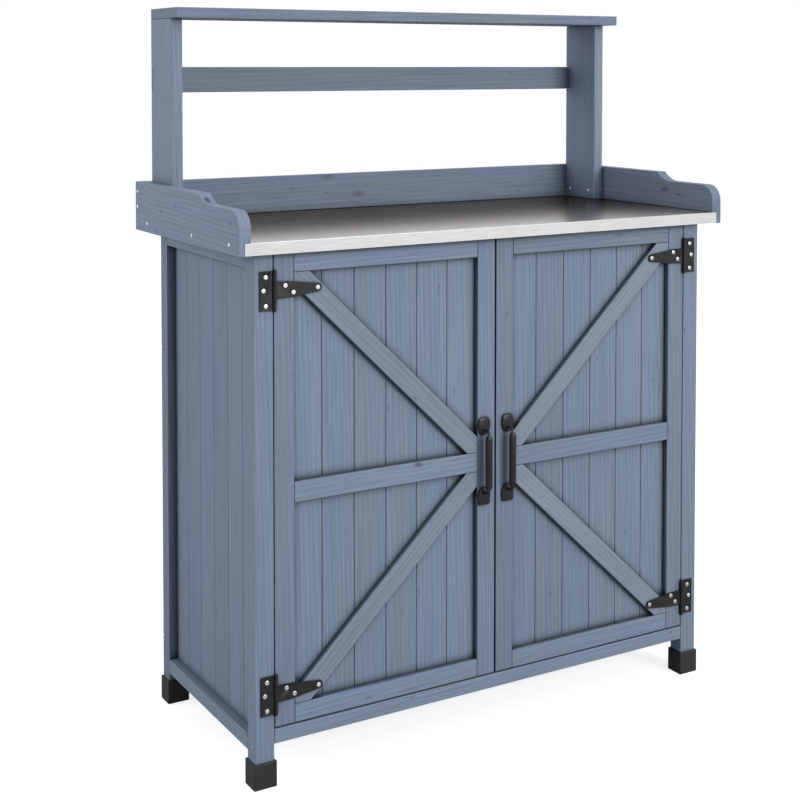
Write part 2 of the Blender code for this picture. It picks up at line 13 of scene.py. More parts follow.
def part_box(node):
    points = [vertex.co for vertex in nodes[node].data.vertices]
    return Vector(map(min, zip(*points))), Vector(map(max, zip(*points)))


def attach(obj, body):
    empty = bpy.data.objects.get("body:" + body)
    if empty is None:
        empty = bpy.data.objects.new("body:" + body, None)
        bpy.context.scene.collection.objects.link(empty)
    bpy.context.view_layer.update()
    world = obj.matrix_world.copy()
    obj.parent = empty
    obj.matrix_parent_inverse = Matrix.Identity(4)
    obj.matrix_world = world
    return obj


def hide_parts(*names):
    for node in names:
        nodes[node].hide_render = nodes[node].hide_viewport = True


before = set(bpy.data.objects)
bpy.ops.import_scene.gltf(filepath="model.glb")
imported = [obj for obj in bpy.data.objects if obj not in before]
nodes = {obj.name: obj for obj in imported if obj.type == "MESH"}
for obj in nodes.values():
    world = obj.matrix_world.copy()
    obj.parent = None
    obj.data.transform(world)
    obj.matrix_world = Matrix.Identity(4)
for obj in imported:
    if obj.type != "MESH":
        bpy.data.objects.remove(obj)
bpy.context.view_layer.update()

SIDES = {"left": -1, "right": 1}
MM = 0.001

# Camera: stands to the left of the bench, at the height of its back rail
CAMERA_PLACE = (-1.3994, -2.2628, 1.1430)
CAMERA_YAW = -30.39
CAMERA_PITCH = 87.75
LENS = 65.6
SENSOR = 36.0
SHIFT_Y = -0.346

# Sides of the round solids, and steps of the rounded edges
SCREW_SIDES = 28
RECESS_SIDES = 32
HOLE_SIDES = 24
GRIP_SIDES = 24
DOME_STEPS = 4
EDGE_STEPS = 2
CORNER_STEPS = 7
SOFTEN_STEPS = 3
BEND_STEPS = 8

# Screws
HINGE_SCREW_RADIUS = 3.9 * MM
HINGE_SCREW_HEIGHT = 1.5 * MM
BOARD_SCREW_RADIUS = 3.3 * MM
BOARD_SCREW_HEIGHT = 0.8 * MM
LEG_SCREW_RADIUS = 3.6 * MM
LEG_SCREW_HEIGHT = 1.6 * MM
RECESS_RADIUS = 5.1 * MM      # countersink round a hinge screw
RECESS_DEPTH = 0.8 * MM

# Pulls
GRIP_RADIUS = 6.5 * MM
GRIP_FLATTEN = 0.80           # the grip is deeper than a flat bar and shallower than a round one
GRIP_HALF = 41.0 * MM         # half of the straight part
GRIP_CLEAR = 0.4 * MM         # how far the grip stays inside the pull's depth
SHOULDER = 7.0 * MM           # length of the taper at each end of the grip
TAPER = [(0.35, 0.90), (0.35, 0.74), (0.30, 0.62)]    # share of the shoulder, share of the width kept
NECK_BEND = 6.5 * MM          # radius of the neck's bend
PLATE_THICK = 3.0 * MM
PLATE_WIDTH = 25.0 * MM
PLATE_HEIGHT = 30.0 * MM
PLATE_FAR = 75.7 * MM         # middle of the pull to the far end of a plate
PLATE_NEAR_SHARE = 0.74       # width of a plate's ends as a share of its middle
PLATE_FAR_SHARE = 0.90
PLATE_RIM = 1.6 * MM          # slope round the raised face
PLATE_RISE = 0.7 * MM
PLATE_SOFTEN = 0.8 * MM       # rounding where the slope meets the edge
NEAR_CORNER = 7.5 * MM
FAR_CORNER = {1: 6.5 * MM, -1: 4.0 * MM}      # rounder on the upper plate than on the lower one

# Side boards
HOLE_RADIUS = 3.6 * MM
HOLE_DEPTH = 0.9 * MM
BOARD_EDGE = 0.9 * MM         # sanded edge


def linear(code):
    """sRGB hex to a linear RGBA colour."""
    parts = [int(code[k:k + 2], 16) / 255 for k in (1, 3, 5)]
    return [c / 12.92 if c <= 0.04045 else ((c + 0.055) / 1.055) ** 2.4 for c in parts] + [1.0]


def add(tree, kind, inputs=None, stops=None, **settings):
    """Adds a node. An input is a value or another node's output; stops are a colour ramp's."""
    node = tree.nodes.new(kind)
    for name, value in settings.items():
        setattr(node, name, value)
    for socket, value in (inputs or {}).items():
        if isinstance(value, bpy.types.NodeSocket):
            tree.links.new(value, node.inputs[socket])
        else:
            node.inputs[socket].default_value = value
    if stops:
        ramp = node.color_ramp.elements
        while len(ramp) < len(stops):
            ramp.new(1.0)
        for element, (position, colour) in zip(ramp, stops):
            element.position = position
            element.color = colour
    return node


def new_material(name, colour, roughness, metallic=0.0):
    material = bpy.data.materials.new(name)
    material.use_nodes = True
    shader = material.node_tree.nodes["Principled BSDF"]
    shader.inputs["Base Color"].default_value = linear(colour)
    shader.inputs["Roughness"].default_value = roughness
    shader.inputs["Metallic"].default_value = metallic
    return material, material.node_tree, shader


# Materials

PANEL_STAIN = ("#6B7B96", "#6D7C90", "#6D7B8B")      # blue, middle and grey of the same stain
BRACE_STAIN = ("#6F7E91", "#707E8E", "#707D8A")
KNOT_DARK = "#3A4252"
FIBRE_MM = 2.2                # real fibres are finer; drawn this coarse so that they show
FIBRE_LENGTH_MM = 210.0
BAND_MM = 15.0                # flat-sawn growth bands
BAND_LENGTH_MM = 620.0
RING_MM = 14.0
RING_LENGTH_MM = 420.0
PORE_MM = 1.8                 # resin streaks, short and thin
PORE_LENGTH_MM = 55.0
KNOT_CELL_MM = 115.0
KNOT_CELL_LENGTH_MM = 280.0
FLECK_CELL_MM = 34.0          # pin knots
FLECK_CELL_LENGTH_MM = 95.0
CORNER_SHADE_MM = 17.0              # how far the painted shade reaches out of an inside corner
SANDED_MM = 1.4
KNOT_SQUASH = 0.34            # a knot's width as a share of its length along the grain
BOARD_JUMP = 7.0              # how far apart in the pattern two neighbouring boards are cut
BOARD_SPREAD = 0.05           # how far a board's tone strays from its panel's
KNOT_BEND = 5.0               # how far the rings swing round a knot
WOOD_ROUGHNESS = 0.60
WOOD_SPECULAR = 0.35
WOOD_TOOTH = 0.35 * MM        # height of the raised grain
COATING_SPECULAR = 0.24
BRONZE_SPECULAR = 0.30
PLASTIC_SPECULAR = 0.35


def grain_scale(across_mm, along_mm):
    """Pattern scale that makes one unit this wide across the grain and this long along it."""
    return 1 / (across_mm * MM), 1 / (across_mm * MM), 1 / (along_mm * MM)


def stained_fir(name, turn, shift, tone, stain, corner_shade_left, marks, boards=None):
    """Planed fir under a blue-grey semi-opaque stain, brushed on and wiped back.

    The eye sees fine streaks along the grain, broader bands that drift from blue to grey, thin resin
    streaks and a few small dark knots. The surface is matt with a slight tooth. Shade is painted dark
    into inside corners and grooves, and a highlight is painted light on the sanded edges. turn brings
    the grain onto the pattern's Z. corner_shade_left is what is left of the tone in a corner under the
    painted shade. marks are (place, radius in mm, share of the tone left) of knots that lie across an
    edge or stand out. boards is (axis, first joint, pitch) for a panel of separate boards, each of
    which has its own tone.
    """
    blue, middle, grey = stain
    material, tree, shader = new_material(name, middle, WOOD_ROUGHNESS)
    shader.inputs["Specular IOR Level"].default_value = WOOD_SPECULAR
    place = add(tree, "ShaderNodeTexCoord").outputs["Object"]
    uncut = place
    lighten = tone
    if boards:
        axis, first, pitch = boards
        split = add(tree, "ShaderNodeSeparateXYZ", {"Vector": place})
        along = split.outputs[axis]
        if axis == "X" and first > 0:
            along = add(tree, "ShaderNodeMath", {0: along}, operation="ABSOLUTE").outputs[0]
        moved = add(tree, "ShaderNodeMath", {0: along, 1: first}, operation="SUBTRACT")
        counted = add(tree, "ShaderNodeMath", {0: moved.outputs[0], 1: pitch}, operation="DIVIDE")
        number = add(tree, "ShaderNodeMath", {0: counted.outputs[0]}, operation="FLOOR")
        seeded = add(tree, "ShaderNodeMath", {0: number.outputs[0], 1: shift[2]}, operation="ADD")
        chance = add(tree, "ShaderNodeTexWhiteNoise", {"W": seeded.outputs[0]}, noise_dimensions="1D")
        jump = add(tree, "ShaderNodeVectorMath", {0: chance.outputs["Color"], "Scale": BOARD_JUMP},
                   operation="SCALE")
        place = add(tree, "ShaderNodeVectorMath", {0: place, 1: jump.outputs[0]}).outputs[0]
        lighten = add(tree, "ShaderNodeMapRange",
                      {"Value": chance.outputs["Value"], "To Min": tone - BOARD_SPREAD,
                       "To Max": tone + BOARD_SPREAD}).outputs["Result"]
    turned = add(tree, "ShaderNodeMapping",
                 {"Vector": place, "Location": shift, "Rotation": turn}).outputs["Vector"]

    knot_map = add(tree, "ShaderNodeMapping",
                   {"Vector": turned, "Scale": grain_scale(KNOT_CELL_MM, KNOT_CELL_LENGTH_MM)})
    knots = add(tree, "ShaderNodeTexVoronoi", {"Vector": knot_map.outputs["Vector"], "Scale": 1.0})
    near_knot = add(tree, "ShaderNodeMapRange",
                    {"Value": knots.outputs["Distance"], "From Min": 0.22, "From Max": 0.0},
                    interpolation_type="SMOOTHSTEP").outputs["Result"]
    in_knot = add(tree, "ShaderNodeMapRange",
                  {"Value": knots.outputs["Distance"], "From Min": 0.050, "From Max": 0.015,
                   "To Max": 0.75}, interpolation_type="SMOOTHSTEP").outputs["Result"]
    bend = add(tree, "ShaderNodeMath", {0: near_knot, 1: KNOT_BEND}, operation="MULTIPLY").outputs[0]
    fleck_map = add(tree, "ShaderNodeMapping",
                    {"Vector": turned, "Scale": grain_scale(FLECK_CELL_MM, FLECK_CELL_LENGTH_MM)})
    flecks = add(tree, "ShaderNodeTexVoronoi", {"Vector": fleck_map.outputs["Vector"], "Scale": 1.0})
    fleck = add(tree, "ShaderNodeMapRange",
                {"Value": flecks.outputs["Distance"], "From Min": 0.030, "From Max": 0.075,
                 "To Min": 0.66, "To Max": 1.0}).outputs["Result"]

    fibre_map = add(tree, "ShaderNodeMapping",
                    {"Vector": turned, "Scale": grain_scale(FIBRE_MM, FIBRE_LENGTH_MM)})
    fibres = add(tree, "ShaderNodeTexNoise",
                 {"Vector": fibre_map.outputs["Vector"], "Scale": 1.0, "Detail": 4.0,
                  "Roughness": 0.66})
    band_map = add(tree, "ShaderNodeMapping",
                   {"Vector": turned, "Scale": grain_scale(BAND_MM, BAND_LENGTH_MM)})
    bands = add(tree, "ShaderNodeTexNoise",
                {"Vector": band_map.outputs["Vector"], "Scale": 1.0, "Detail": 3.0,
                 "Roughness": 0.55, "Distortion": 0.4})
    ring_map = add(tree, "ShaderNodeMapping",
                   {"Vector": turned, "Scale": grain_scale(RING_MM, RING_LENGTH_MM)})
    rings = add(tree, "ShaderNodeTexWave",
                {"Vector": ring_map.outputs["Vector"], "Scale": 1.0, "Distortion": 7.0,
                 "Detail": 2.0, "Detail Scale": 0.25, "Phase Offset": bend},
                wave_type="BANDS", bands_direction="DIAGONAL")
    pore_map = add(tree, "ShaderNodeMapping",
                   {"Vector": turned, "Scale": grain_scale(PORE_MM, PORE_LENGTH_MM)})
    pores = add(tree, "ShaderNodeTexNoise", {"Vector": pore_map.outputs["Vector"], "Scale": 1.0})

    stained = add(tree, "ShaderNodeValToRGB", {"Fac": bands.outputs["Fac"]},
                  stops=[(0.34, linear(blue)), (0.50, linear(middle)), (0.66, linear(grey))])
    streak = add(tree, "ShaderNodeMapRange",
                 {"Value": fibres.outputs["Fac"], "From Min": 0.30, "From Max": 0.70,
                  "To Min": 0.84, "To Max": 1.14}).outputs["Result"]
    ring = add(tree, "ShaderNodeMapRange",
               {"Value": rings.outputs["Fac"], "To Min": 0.93, "To Max": 1.04}).outputs["Result"]
    resin = add(tree, "ShaderNodeMapRange",
                {"Value": pores.outputs["Fac"], "From Min": 0.62, "From Max": 0.76,
                 "To Min": 1.0, "To Max": 0.80}).outputs["Result"]
    shade = add(tree, "ShaderNodeMath", {0: streak, 1: ring}, operation="MULTIPLY").outputs[0]
    shade = add(tree, "ShaderNodeMath", {0: shade, 1: resin}, operation="MULTIPLY").outputs[0]
    shade = add(tree, "ShaderNodeMath", {0: shade, 1: fleck}, operation="MULTIPLY").outputs[0]
    shade = add(tree, "ShaderNodeMath", {0: shade, 1: lighten}, operation="MULTIPLY").outputs[0]

    # painted shade: the tone is darkened in inside corners, recesses and grooves, where shade falls
    corner = add(tree, "ShaderNodeAmbientOcclusion", {"Distance": CORNER_SHADE_MM * MM}, samples=8)
    painted_corner_shade = add(tree, "ShaderNodeMapRange",
               {"Value": corner.outputs["AO"], "From Min": 0.45, "From Max": 0.94,
                "To Min": corner_shade_left, "To Max": 1.0}).outputs["Result"]
    shade = add(tree, "ShaderNodeMath", {0: shade, 1: painted_corner_shade}, operation="MULTIPLY").outputs[0]
    rounded = add(tree, "ShaderNodeBevel", {"Radius": SANDED_MM * MM}, samples=4)
    flat = add(tree, "ShaderNodeNewGeometry")
    turn_off = add(tree, "ShaderNodeVectorMath",
                   {0: rounded.outputs["Normal"], 1: flat.outputs["True Normal"]},
                   operation="DOT_PRODUCT")
    # painted highlight: the tone is lightened on the sanded edges, where they catch the light
    painted_edge_highlight = add(tree, "ShaderNodeMapRange",
                 {"Value": turn_off.outputs["Value"], "From Min": 1.0, "From Max": 0.80,
                  "To Min": 1.0, "To Max": 1.22}).outputs["Result"]
    shade = add(tree, "ShaderNodeMath", {0: shade, 1: painted_edge_highlight}, operation="MULTIPLY").outputs[0]
    for mark, radius, left in marks:
        away = add(tree, "ShaderNodeVectorMath", {0: uncut, 1: mark}, operation="SUBTRACT").outputs[0]
        grained = add(tree, "ShaderNodeVectorRotate", {"Vector": away, "Rotation": turn},
                      rotation_type="EULER_XYZ").outputs["Vector"]
        pressed = add(tree, "ShaderNodeVectorMath", {0: grained, 1: (1.0, 1.0, KNOT_SQUASH)},
                      operation="MULTIPLY").outputs[0]
        reach = add(tree, "ShaderNodeVectorMath", {0: pressed}, operation="LENGTH").outputs["Value"]
        dark = add(tree, "ShaderNodeMapRange",
                   {"Value": reach, "From Min": radius * 0.35 * MM, "From Max": radius * MM,
                    "To Min": left, "To Max": 1.0}, interpolation_type="SMOOTHSTEP").outputs["Result"]
        shade = add(tree, "ShaderNodeMath", {0: shade, 1: dark}, operation="MULTIPLY").outputs[0]

    toned = add(tree, "ShaderNodeVectorMath", {0: stained.outputs["Color"], "Scale": shade},
                operation="SCALE").outputs[0]
    colour = add(tree, "ShaderNodeMix",
                 {"Factor": in_knot, "A": toned, "B": linear(KNOT_DARK)}, data_type="RGBA")
    tree.links.new(colour.outputs["Result"], shader.inputs["Base Color"])
    rough = add(tree, "ShaderNodeMapRange",
                {"Value": fibres.outputs["Fac"], "From Min": 0.3, "From Max": 0.7,
                 "To Min": 0.68, "To Max": 0.54}).outputs["Result"]
    tree.links.new(rough, shader.inputs["Roughness"])
    tooth = add(tree, "ShaderNodeBump", {"Height": fibres.outputs["Fac"], "Strength": 0.25,
                                         "Distance": WOOD_TOOTH, "Normal": rounded.outputs["Normal"]})
    tree.links.new(tooth.outputs["Normal"], shader.inputs["Normal"])
    return material


SHEET_PAINTED_SHADE = [                # distance behind the front edge as a share of the sheet, and its colour: painted shade and reflection, light at the front, dark at the back
    (0.00, "#D6D4D0"), (0.14, "#C8C5C0"), (0.44, "#9A9690"), (0.66, "#847F79"), (1.00, "#79746E")]
# distance again, and the tint of what is mirrored at a glancing angle: painted shade in the reflection,
# darker and warmer further back
SHEET_GLANCE_SHADE = [(0.00, "#F4F3F2"), (0.30, "#D4CDC6"), (0.60, "#CDBEAD"), (1.00, "#D4C0A8")]
SPANGLE_MM = 5.5              # zinc crystals, drawn longer front to back so that they show
SPANGLE_LENGTH_MM = 17.0
SPANGLE_DEPTH_MM = 10.0
BRUSH_MM = 1.0                # the real brushed lines are about 0.2 mm apart, drawn wider to show
BRUSH_LENGTH_MM = 40.0
LIP_STEEL = ("#AFAFAE", "#BEBEBD")
LIP_ROUGHNESS = 0.66
FRONT_ROUGHNESS = 0.25        # scuffed duller towards the front, where pots are slid
BACK_ROUGHNESS = 0.17


def galvanised_sheet():
    """Hot-dip galvanised steel sheet, skin-passed and brushed along its length.

    The top is a soft mirror with a faint spangle, which shows the boards behind it as a blurred
    reflection. Its colour is painted shade and reflection, dull grey at the back and bright towards the
    front, and the tint of its glancing reflection is painted darker towards the back. The folded front
    lip catches the light almost white, with fine lines along it.
    """
    material, tree, shader = new_material("galvanised_steel_skin_passed", "#A8A49D", 0.20, 1.0)
    low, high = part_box("worktop_sheet")
    place = add(tree, "ShaderNodeTexCoord").outputs["Object"]
    brush = 1 / (BRUSH_MM * MM)
    brushed = add(tree, "ShaderNodeMapping",
                  {"Vector": place, "Scale": (1 / (BRUSH_LENGTH_MM * MM), brush, brush)})
    lines = add(tree, "ShaderNodeTexNoise", {"Vector": brushed.outputs["Vector"], "Scale": 1.0,
                                             "Detail": 2.0})
    spangle = [1 / (size * MM) for size in (SPANGLE_MM, SPANGLE_LENGTH_MM, SPANGLE_DEPTH_MM)]
    crystals = add(tree, "ShaderNodeMapping", {"Vector": place, "Scale": spangle})
    grit = add(tree, "ShaderNodeTexNoise", {"Vector": crystals.outputs["Vector"], "Scale": 1.0,
                                            "Detail": 3.0})
    facing = add(tree, "ShaderNodeSeparateXYZ",
                 {"Vector": add(tree, "ShaderNodeNewGeometry").outputs["True Normal"]})
    lip = add(tree, "ShaderNodeMapRange",
              {"Value": facing.outputs["Z"], "From Min": 0.9, "From Max": 0.3}).outputs["Result"]
    behind = add(tree, "ShaderNodeMapRange",
                 {"Value": add(tree, "ShaderNodeSeparateXYZ", {"Vector": place}).outputs["Y"],
                  "From Min": low.y, "From Max": high.y}).outputs["Result"]
    # painted shade and reflection: the top's colour darkens from the front edge to the back
    painted_sheet_shade = add(tree, "ShaderNodeValToRGB", {"Fac": behind},
               stops=[(share, linear(code)) for share, code in SHEET_PAINTED_SHADE])
    # painted shade in the reflection: the glancing tint darkens and warms towards the back
    glance_shade = add(tree, "ShaderNodeValToRGB", {"Fac": behind},
                 stops=[(share, linear(code)) for share, code in SHEET_GLANCE_SHADE])
    tree.links.new(glance_shade.outputs["Color"], shader.inputs["Specular Tint"])
    speckle = add(tree, "ShaderNodeMapRange",
                  {"Value": grit.outputs["Fac"], "From Min": 0.3, "From Max": 0.7,
                   "To Min": 0.93, "To Max": 1.07}).outputs["Result"]
    top = add(tree, "ShaderNodeVectorMath", {0: painted_sheet_shade.outputs["Color"], "Scale": speckle},
              operation="SCALE").outputs[0]
    front = add(tree, "ShaderNodeValToRGB", {"Fac": lines.outputs["Fac"]},
                stops=[(0.3, linear(LIP_STEEL[0])), (0.7, linear(LIP_STEEL[1]))])
    colour = add(tree, "ShaderNodeMix", {"Factor": lip, "A": top, "B": front.outputs["Color"]},
                 data_type="RGBA")
    tree.links.new(colour.outputs["Result"], shader.inputs["Base Color"])
    scuffed = add(tree, "ShaderNodeMapRange",
                  {"Value": behind, "To Min": FRONT_ROUGHNESS,
                   "To Max": BACK_ROUGHNESS}).outputs["Result"]
    uneven = add(tree, "ShaderNodeMapRange",
                 {"Value": grit.outputs["Fac"], "From Min": 0.3, "From Max": 0.7,
                  "To Min": 0.0, "To Max": 0.02}).outputs["Result"]
    polish = add(tree, "ShaderNodeMath", {0: scuffed, 1: uneven}, operation="ADD").outputs[0]
    rough = add(tree, "ShaderNodeMix", {"Factor": lip, "A": polish, "B": LIP_ROUGHNESS})
    tree.links.new(rough.outputs["Result"], shader.inputs["Roughness"])
    return material


def black_coated_steel():
    """Pressed steel with a black electrophoretic coat: smooth, dull satin, a slight orange peel."""
    material, tree, shader = new_material("black_coated_steel", "#1A1918", 0.48)
    shader.inputs["Specular IOR Level"].default_value = COATING_SPECULAR
    place = add(tree, "ShaderNodeTexCoord").outputs["Object"]
    peel = add(tree, "ShaderNodeTexNoise", {"Vector": place, "Scale": 900.0, "Detail": 2.0})
    colour = add(tree, "ShaderNodeValToRGB", {"Fac": peel.outputs["Fac"]},
                 stops=[(0.35, linear("#181716")), (0.65, linear("#201F1D"))])
    tree.links.new(colour.outputs["Color"], shader.inputs["Base Color"])
    rough = add(tree, "ShaderNodeMapRange",
                {"Value": peel.outputs["Fac"], "To Min": 0.42, "To Max": 0.56})
    tree.links.new(rough.outputs["Result"], shader.inputs["Roughness"])
    bump = add(tree, "ShaderNodeBump", {"Height": peel.outputs["Fac"], "Strength": 0.12,
                                        "Distance": 0.1 * MM})
    tree.links.new(bump.outputs["Normal"], shader.inputs["Normal"])
    return material


def bronzed_zinc():
    """Die-cast zinc alloy with a dark oil-rubbed bronze finish: warm near-black, satin."""
    material, tree, shader = new_material("oil_rubbed_bronze", "#1E1B19", 0.30)
    shader.inputs["Specular IOR Level"].default_value = BRONZE_SPECULAR
    place = add(tree, "ShaderNodeTexCoord").outputs["Object"]
    cloud = add(tree, "ShaderNodeTexNoise", {"Vector": place, "Scale": 120.0, "Detail": 4.0})
    colour = add(tree, "ShaderNodeValToRGB", {"Fac": cloud.outputs["Fac"]},
                 stops=[(0.35, linear("#1B1816")), (0.65, linear("#231F1C"))])
    tree.links.new(colour.outputs["Color"], shader.inputs["Base Color"])
    rough = add(tree, "ShaderNodeMapRange",
                {"Value": cloud.outputs["Fac"], "To Min": 0.24, "To Max": 0.36})
    tree.links.new(rough.outputs["Result"], shader.inputs["Roughness"])
    return material


def bright_zinc(name, colour):
    """Steel screws with a bright zinc plating: near-white, softly mirrored, with turning marks."""
    material, tree, shader = new_material(name, colour, 0.30, 1.0)
    place = add(tree, "ShaderNodeTexCoord").outputs["Object"]
    marks = add(tree, "ShaderNodeTexNoise", {"Vector": place, "Scale": 2400.0, "Detail": 2.0})
    rough = add(tree, "ShaderNodeMapRange",
                {"Value": marks.outputs["Fac"], "To Min": 0.24, "To Max": 0.38})
    tree.links.new(rough.outputs["Result"], shader.inputs["Roughness"])
    return material


def stained_screw():
    """Zinc screws that the stain has been brushed over: dull blue-grey."""
    material, tree, shader = new_material("screw_under_stain", "#66788F", 0.40, 0.35)
    place = add(tree, "ShaderNodeTexCoord").outputs["Object"]
    blotch = add(tree, "ShaderNodeTexNoise", {"Vector": place, "Scale": 900.0, "Detail": 3.0})
    colour = add(tree, "ShaderNodeValToRGB", {"Fac": blotch.outputs["Fac"]},
                 stops=[(0.40, linear("#6D7F97")), (0.62, linear("#A3B4C8"))])
    tree.links.new(colour.outputs["Color"], shader.inputs["Base Color"])
    return material


def moulded_plastic():
    """Injection-moulded polypropylene with a spark-eroded texture: black, matt, soft highlights."""
    material, tree, shader = new_material("black_moulded_polypropylene", "#202020", 0.55)
    shader.inputs["Specular IOR Level"].default_value = PLASTIC_SPECULAR
    place = add(tree, "ShaderNodeTexCoord").outputs["Object"]
    # the real texture is about 0.2 mm; drawn at 1 mm so that it shows
    spark = add(tree, "ShaderNodeTexNoise", {"Vector": place, "Scale": 1000.0, "Detail": 3.0})
    colour = add(tree, "ShaderNodeValToRGB", {"Fac": spark.outputs["Fac"]},
                 stops=[(0.35, linear("#1D1D1D")), (0.65, linear("#242424"))])
    tree.links.new(colour.outputs["Color"], shader.inputs["Base Color"])
    bump = add(tree, "ShaderNodeBump", {"Height": spark.outputs["Fac"], "Strength": 0.2,
                                        "Distance": 0.15 * MM})
    tree.links.new(bump.outputs["Normal"], shader.inputs["Normal"])
    return material


def pale_floor():
    """Opal acrylic table, matt and lit from below: it shows white but throws little light up."""
    material, tree, shader = new_material("opal_acrylic_table", "#BCBCBC", 0.9)
    shader.inputs["Specular IOR Level"].default_value = 0.0
    shader.inputs["Emission Color"].default_value = linear("#FFFFFF")
    path = add(tree, "ShaderNodeLightPath")
    glow = add(tree, "ShaderNodeMath", {0: path.outputs["Is Camera Ray"], 1: FLOOR_GLOW},
               operation="MULTIPLY")
    tree.links.new(glow.outputs[0], shader.inputs["Emission Strength"])
    place = add(tree, "ShaderNodeTexCoord").outputs["Object"]
    pulp = add(tree, "ShaderNodeTexNoise", {"Vector": place, "Scale": 30.0})
    colour = add(tree, "ShaderNodeValToRGB", {"Fac": pulp.outputs["Fac"]},
                 stops=[(0.3, linear("#BABABA")), (0.7, linear("#BEBEBE"))])
    tree.links.new(colour.outputs["Color"], shader.inputs["Base Color"])
    return material


STEEL = black_coated_steel()
BRONZE = bronzed_zinc()
ZINC = bright_zinc("bright_zinc_plating", "#CDCDCB")
CLEAR_ZINC = bright_zinc("clear_zinc_plating", "#F0F2F5")
STAINED_SCREW = stained_screw()
PLASTIC = moulded_plastic()
SHEET = galvanised_sheet()


# Modelling helpers

SAME_POINT = 0.01 * MM
SAME_FACE = 0.1 * MM
FACING = 0.9                  # a face whose normal has this much of an axis looks along it
FLAT_ENOUGH = 0.5             # faces closer to one plane than this are merged, in degrees
SHARP_EDGE = 50               # edges that are broken, in degrees
BROAD_SMOOTH = 35             # edges flatter than this are shaded smooth, in degrees
FLAT_SMOOTH = 20              # the same, for boards and leaves with flat faces
CAST_SMOOTH = 40              # the same, for castings


def deselect():
    bpy.ops.object.select_all(action="DESELECT")


def pick(kind, test):
    """In edit mode, selects only the vertices, edges or faces that pass the test."""
    mesh = bpy.context.edit_object.data
    bpy.ops.mesh.select_mode(type=kind)
    bpy.ops.mesh.select_all(action="DESELECT")
    shape = bmesh.from_edit_mesh(mesh)
    parts = {"VERT": shape.verts, "EDGE": shape.edges, "FACE": shape.faces}[kind]
    for part in parts:
        if test(part):
            part.select_set(True)
    shape.select_flush_mode()
    bmesh.update_edit_mesh(mesh)


def apply_place():
    bpy.ops.object.transform_apply(location=True, rotation=True, scale=True)


def cut(item, operand, operation="DIFFERENCE"):
    """Cuts a solid out of an item, or joins it on, and removes it."""
    change = item.modifiers.new("cut", "BOOLEAN")
    change.operation = operation
    change.solver = "EXACT"
    change.object = operand
    bpy.context.view_layer.objects.active = item
    bpy.ops.object.modifier_apply(modifier=change.name)
    bpy.data.objects.remove(operand)


def settle(item, name, body, material, smooth_angle=BROAD_SMOOTH):
    """Finishes a piece: its name, shading, material, and the body it rides on."""
    deselect()
    item.select_set(True)
    bpy.context.view_layer.objects.active = item
    bpy.ops.object.shade_smooth_by_angle(angle=math.radians(smooth_angle))
    item.name = name
    item.data.name = name
    item.data.materials.clear()
    item.data.materials.append(material)
    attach(item, body)


def join(items):
    deselect()
    for item in items:
        item.select_set(True)
    bpy.context.view_layer.objects.active = items[0]
    bpy.ops.object.join()
    return items[0]


def merged_copy(node):
    """A copy of a CAD node with its loose triangles joined, ready to be worked on."""
    deselect()
    item = bpy.data.objects.new(node + "_copy", nodes[node].data.copy())
    bpy.context.collection.objects.link(item)
    item.select_set(True)
    bpy.context.view_layer.objects.active = item
    bpy.ops.object.mode_set(mode="EDIT")
    bpy.ops.mesh.select_all(action="SELECT")
    bpy.ops.mesh.remove_doubles(threshold=SAME_POINT)
    bpy.ops.mesh.dissolve_limited(angle_limit=math.radians(FLAT_ENOUGH))
    bpy.ops.object.mode_set(mode="OBJECT")
    return item


def break_edges(item, width):
    edge = item.modifiers.new("edge", "BEVEL")
    edge.width = width
    edge.segments = EDGE_STEPS
    edge.limit_method = "ANGLE"
    edge.angle_limit = math.radians(SHARP_EDGE)
    bpy.context.view_layer.objects.active = item
    bpy.ops.object.modifier_apply(modifier=edge.name)


# Screws

CROSS_LENGTH = 1.15           # crosshead recess, as shares of the head's radius
CROSS_WIDTH = 0.32
CROSS_TAPER = 0.75            # width left at the recess's floor
CROSS_DEPTH = 0.9             # of the head's height, half of it above the head
DOME = 0.75                   # how much of the head's height is rounded
DOME_PROFILE = 0.6            # a little fuller than a quarter circle
FACE_LEVEL = 0.9              # share of the height above which a point is on the head's face
SCREW_TWIST = (12, 37)        # turn of the first screw in a row, and from one to the next, in degrees


def screw_head(radius, height):
    """A pan head that faces -Y with its seat at the origin, with a crosshead recess."""
    deselect()
    bpy.ops.mesh.primitive_cylinder_add(vertices=SCREW_SIDES, radius=radius, depth=height,
                                        location=(0.0, -height / 2, 0.0),
                                        rotation=(math.radians(90), 0.0, 0.0))
    head = bpy.context.object
    apply_place()
    bpy.ops.object.mode_set(mode="EDIT")
    pick("EDGE", lambda edge: all(v.co.y < -height * FACE_LEVEL for v in edge.verts))
    bpy.ops.mesh.bevel(offset=height * DOME, segments=DOME_STEPS, profile=DOME_PROFILE, affect="EDGES")
    bpy.ops.object.mode_set(mode="OBJECT")
    for wide, tall in ((CROSS_LENGTH, CROSS_WIDTH), (CROSS_WIDTH, CROSS_LENGTH)):
        deselect()
        bpy.ops.mesh.primitive_cube_add(size=1.0, location=(0.0, -height, 0.0))
        cross = bpy.context.object
        cross.scale = (radius * wide, height * CROSS_DEPTH, radius * tall)
        apply_place()
        bpy.ops.object.mode_set(mode="EDIT")
        pick("FACE", lambda face: face.normal.y > FACING)
        bpy.ops.transform.resize(value=(CROSS_TAPER, 1.0, CROSS_TAPER),
                                 center_override=(0.0, -height, 0.0))
        bpy.ops.object.mode_set(mode="OBJECT")
        cut(head, cross)
    return head


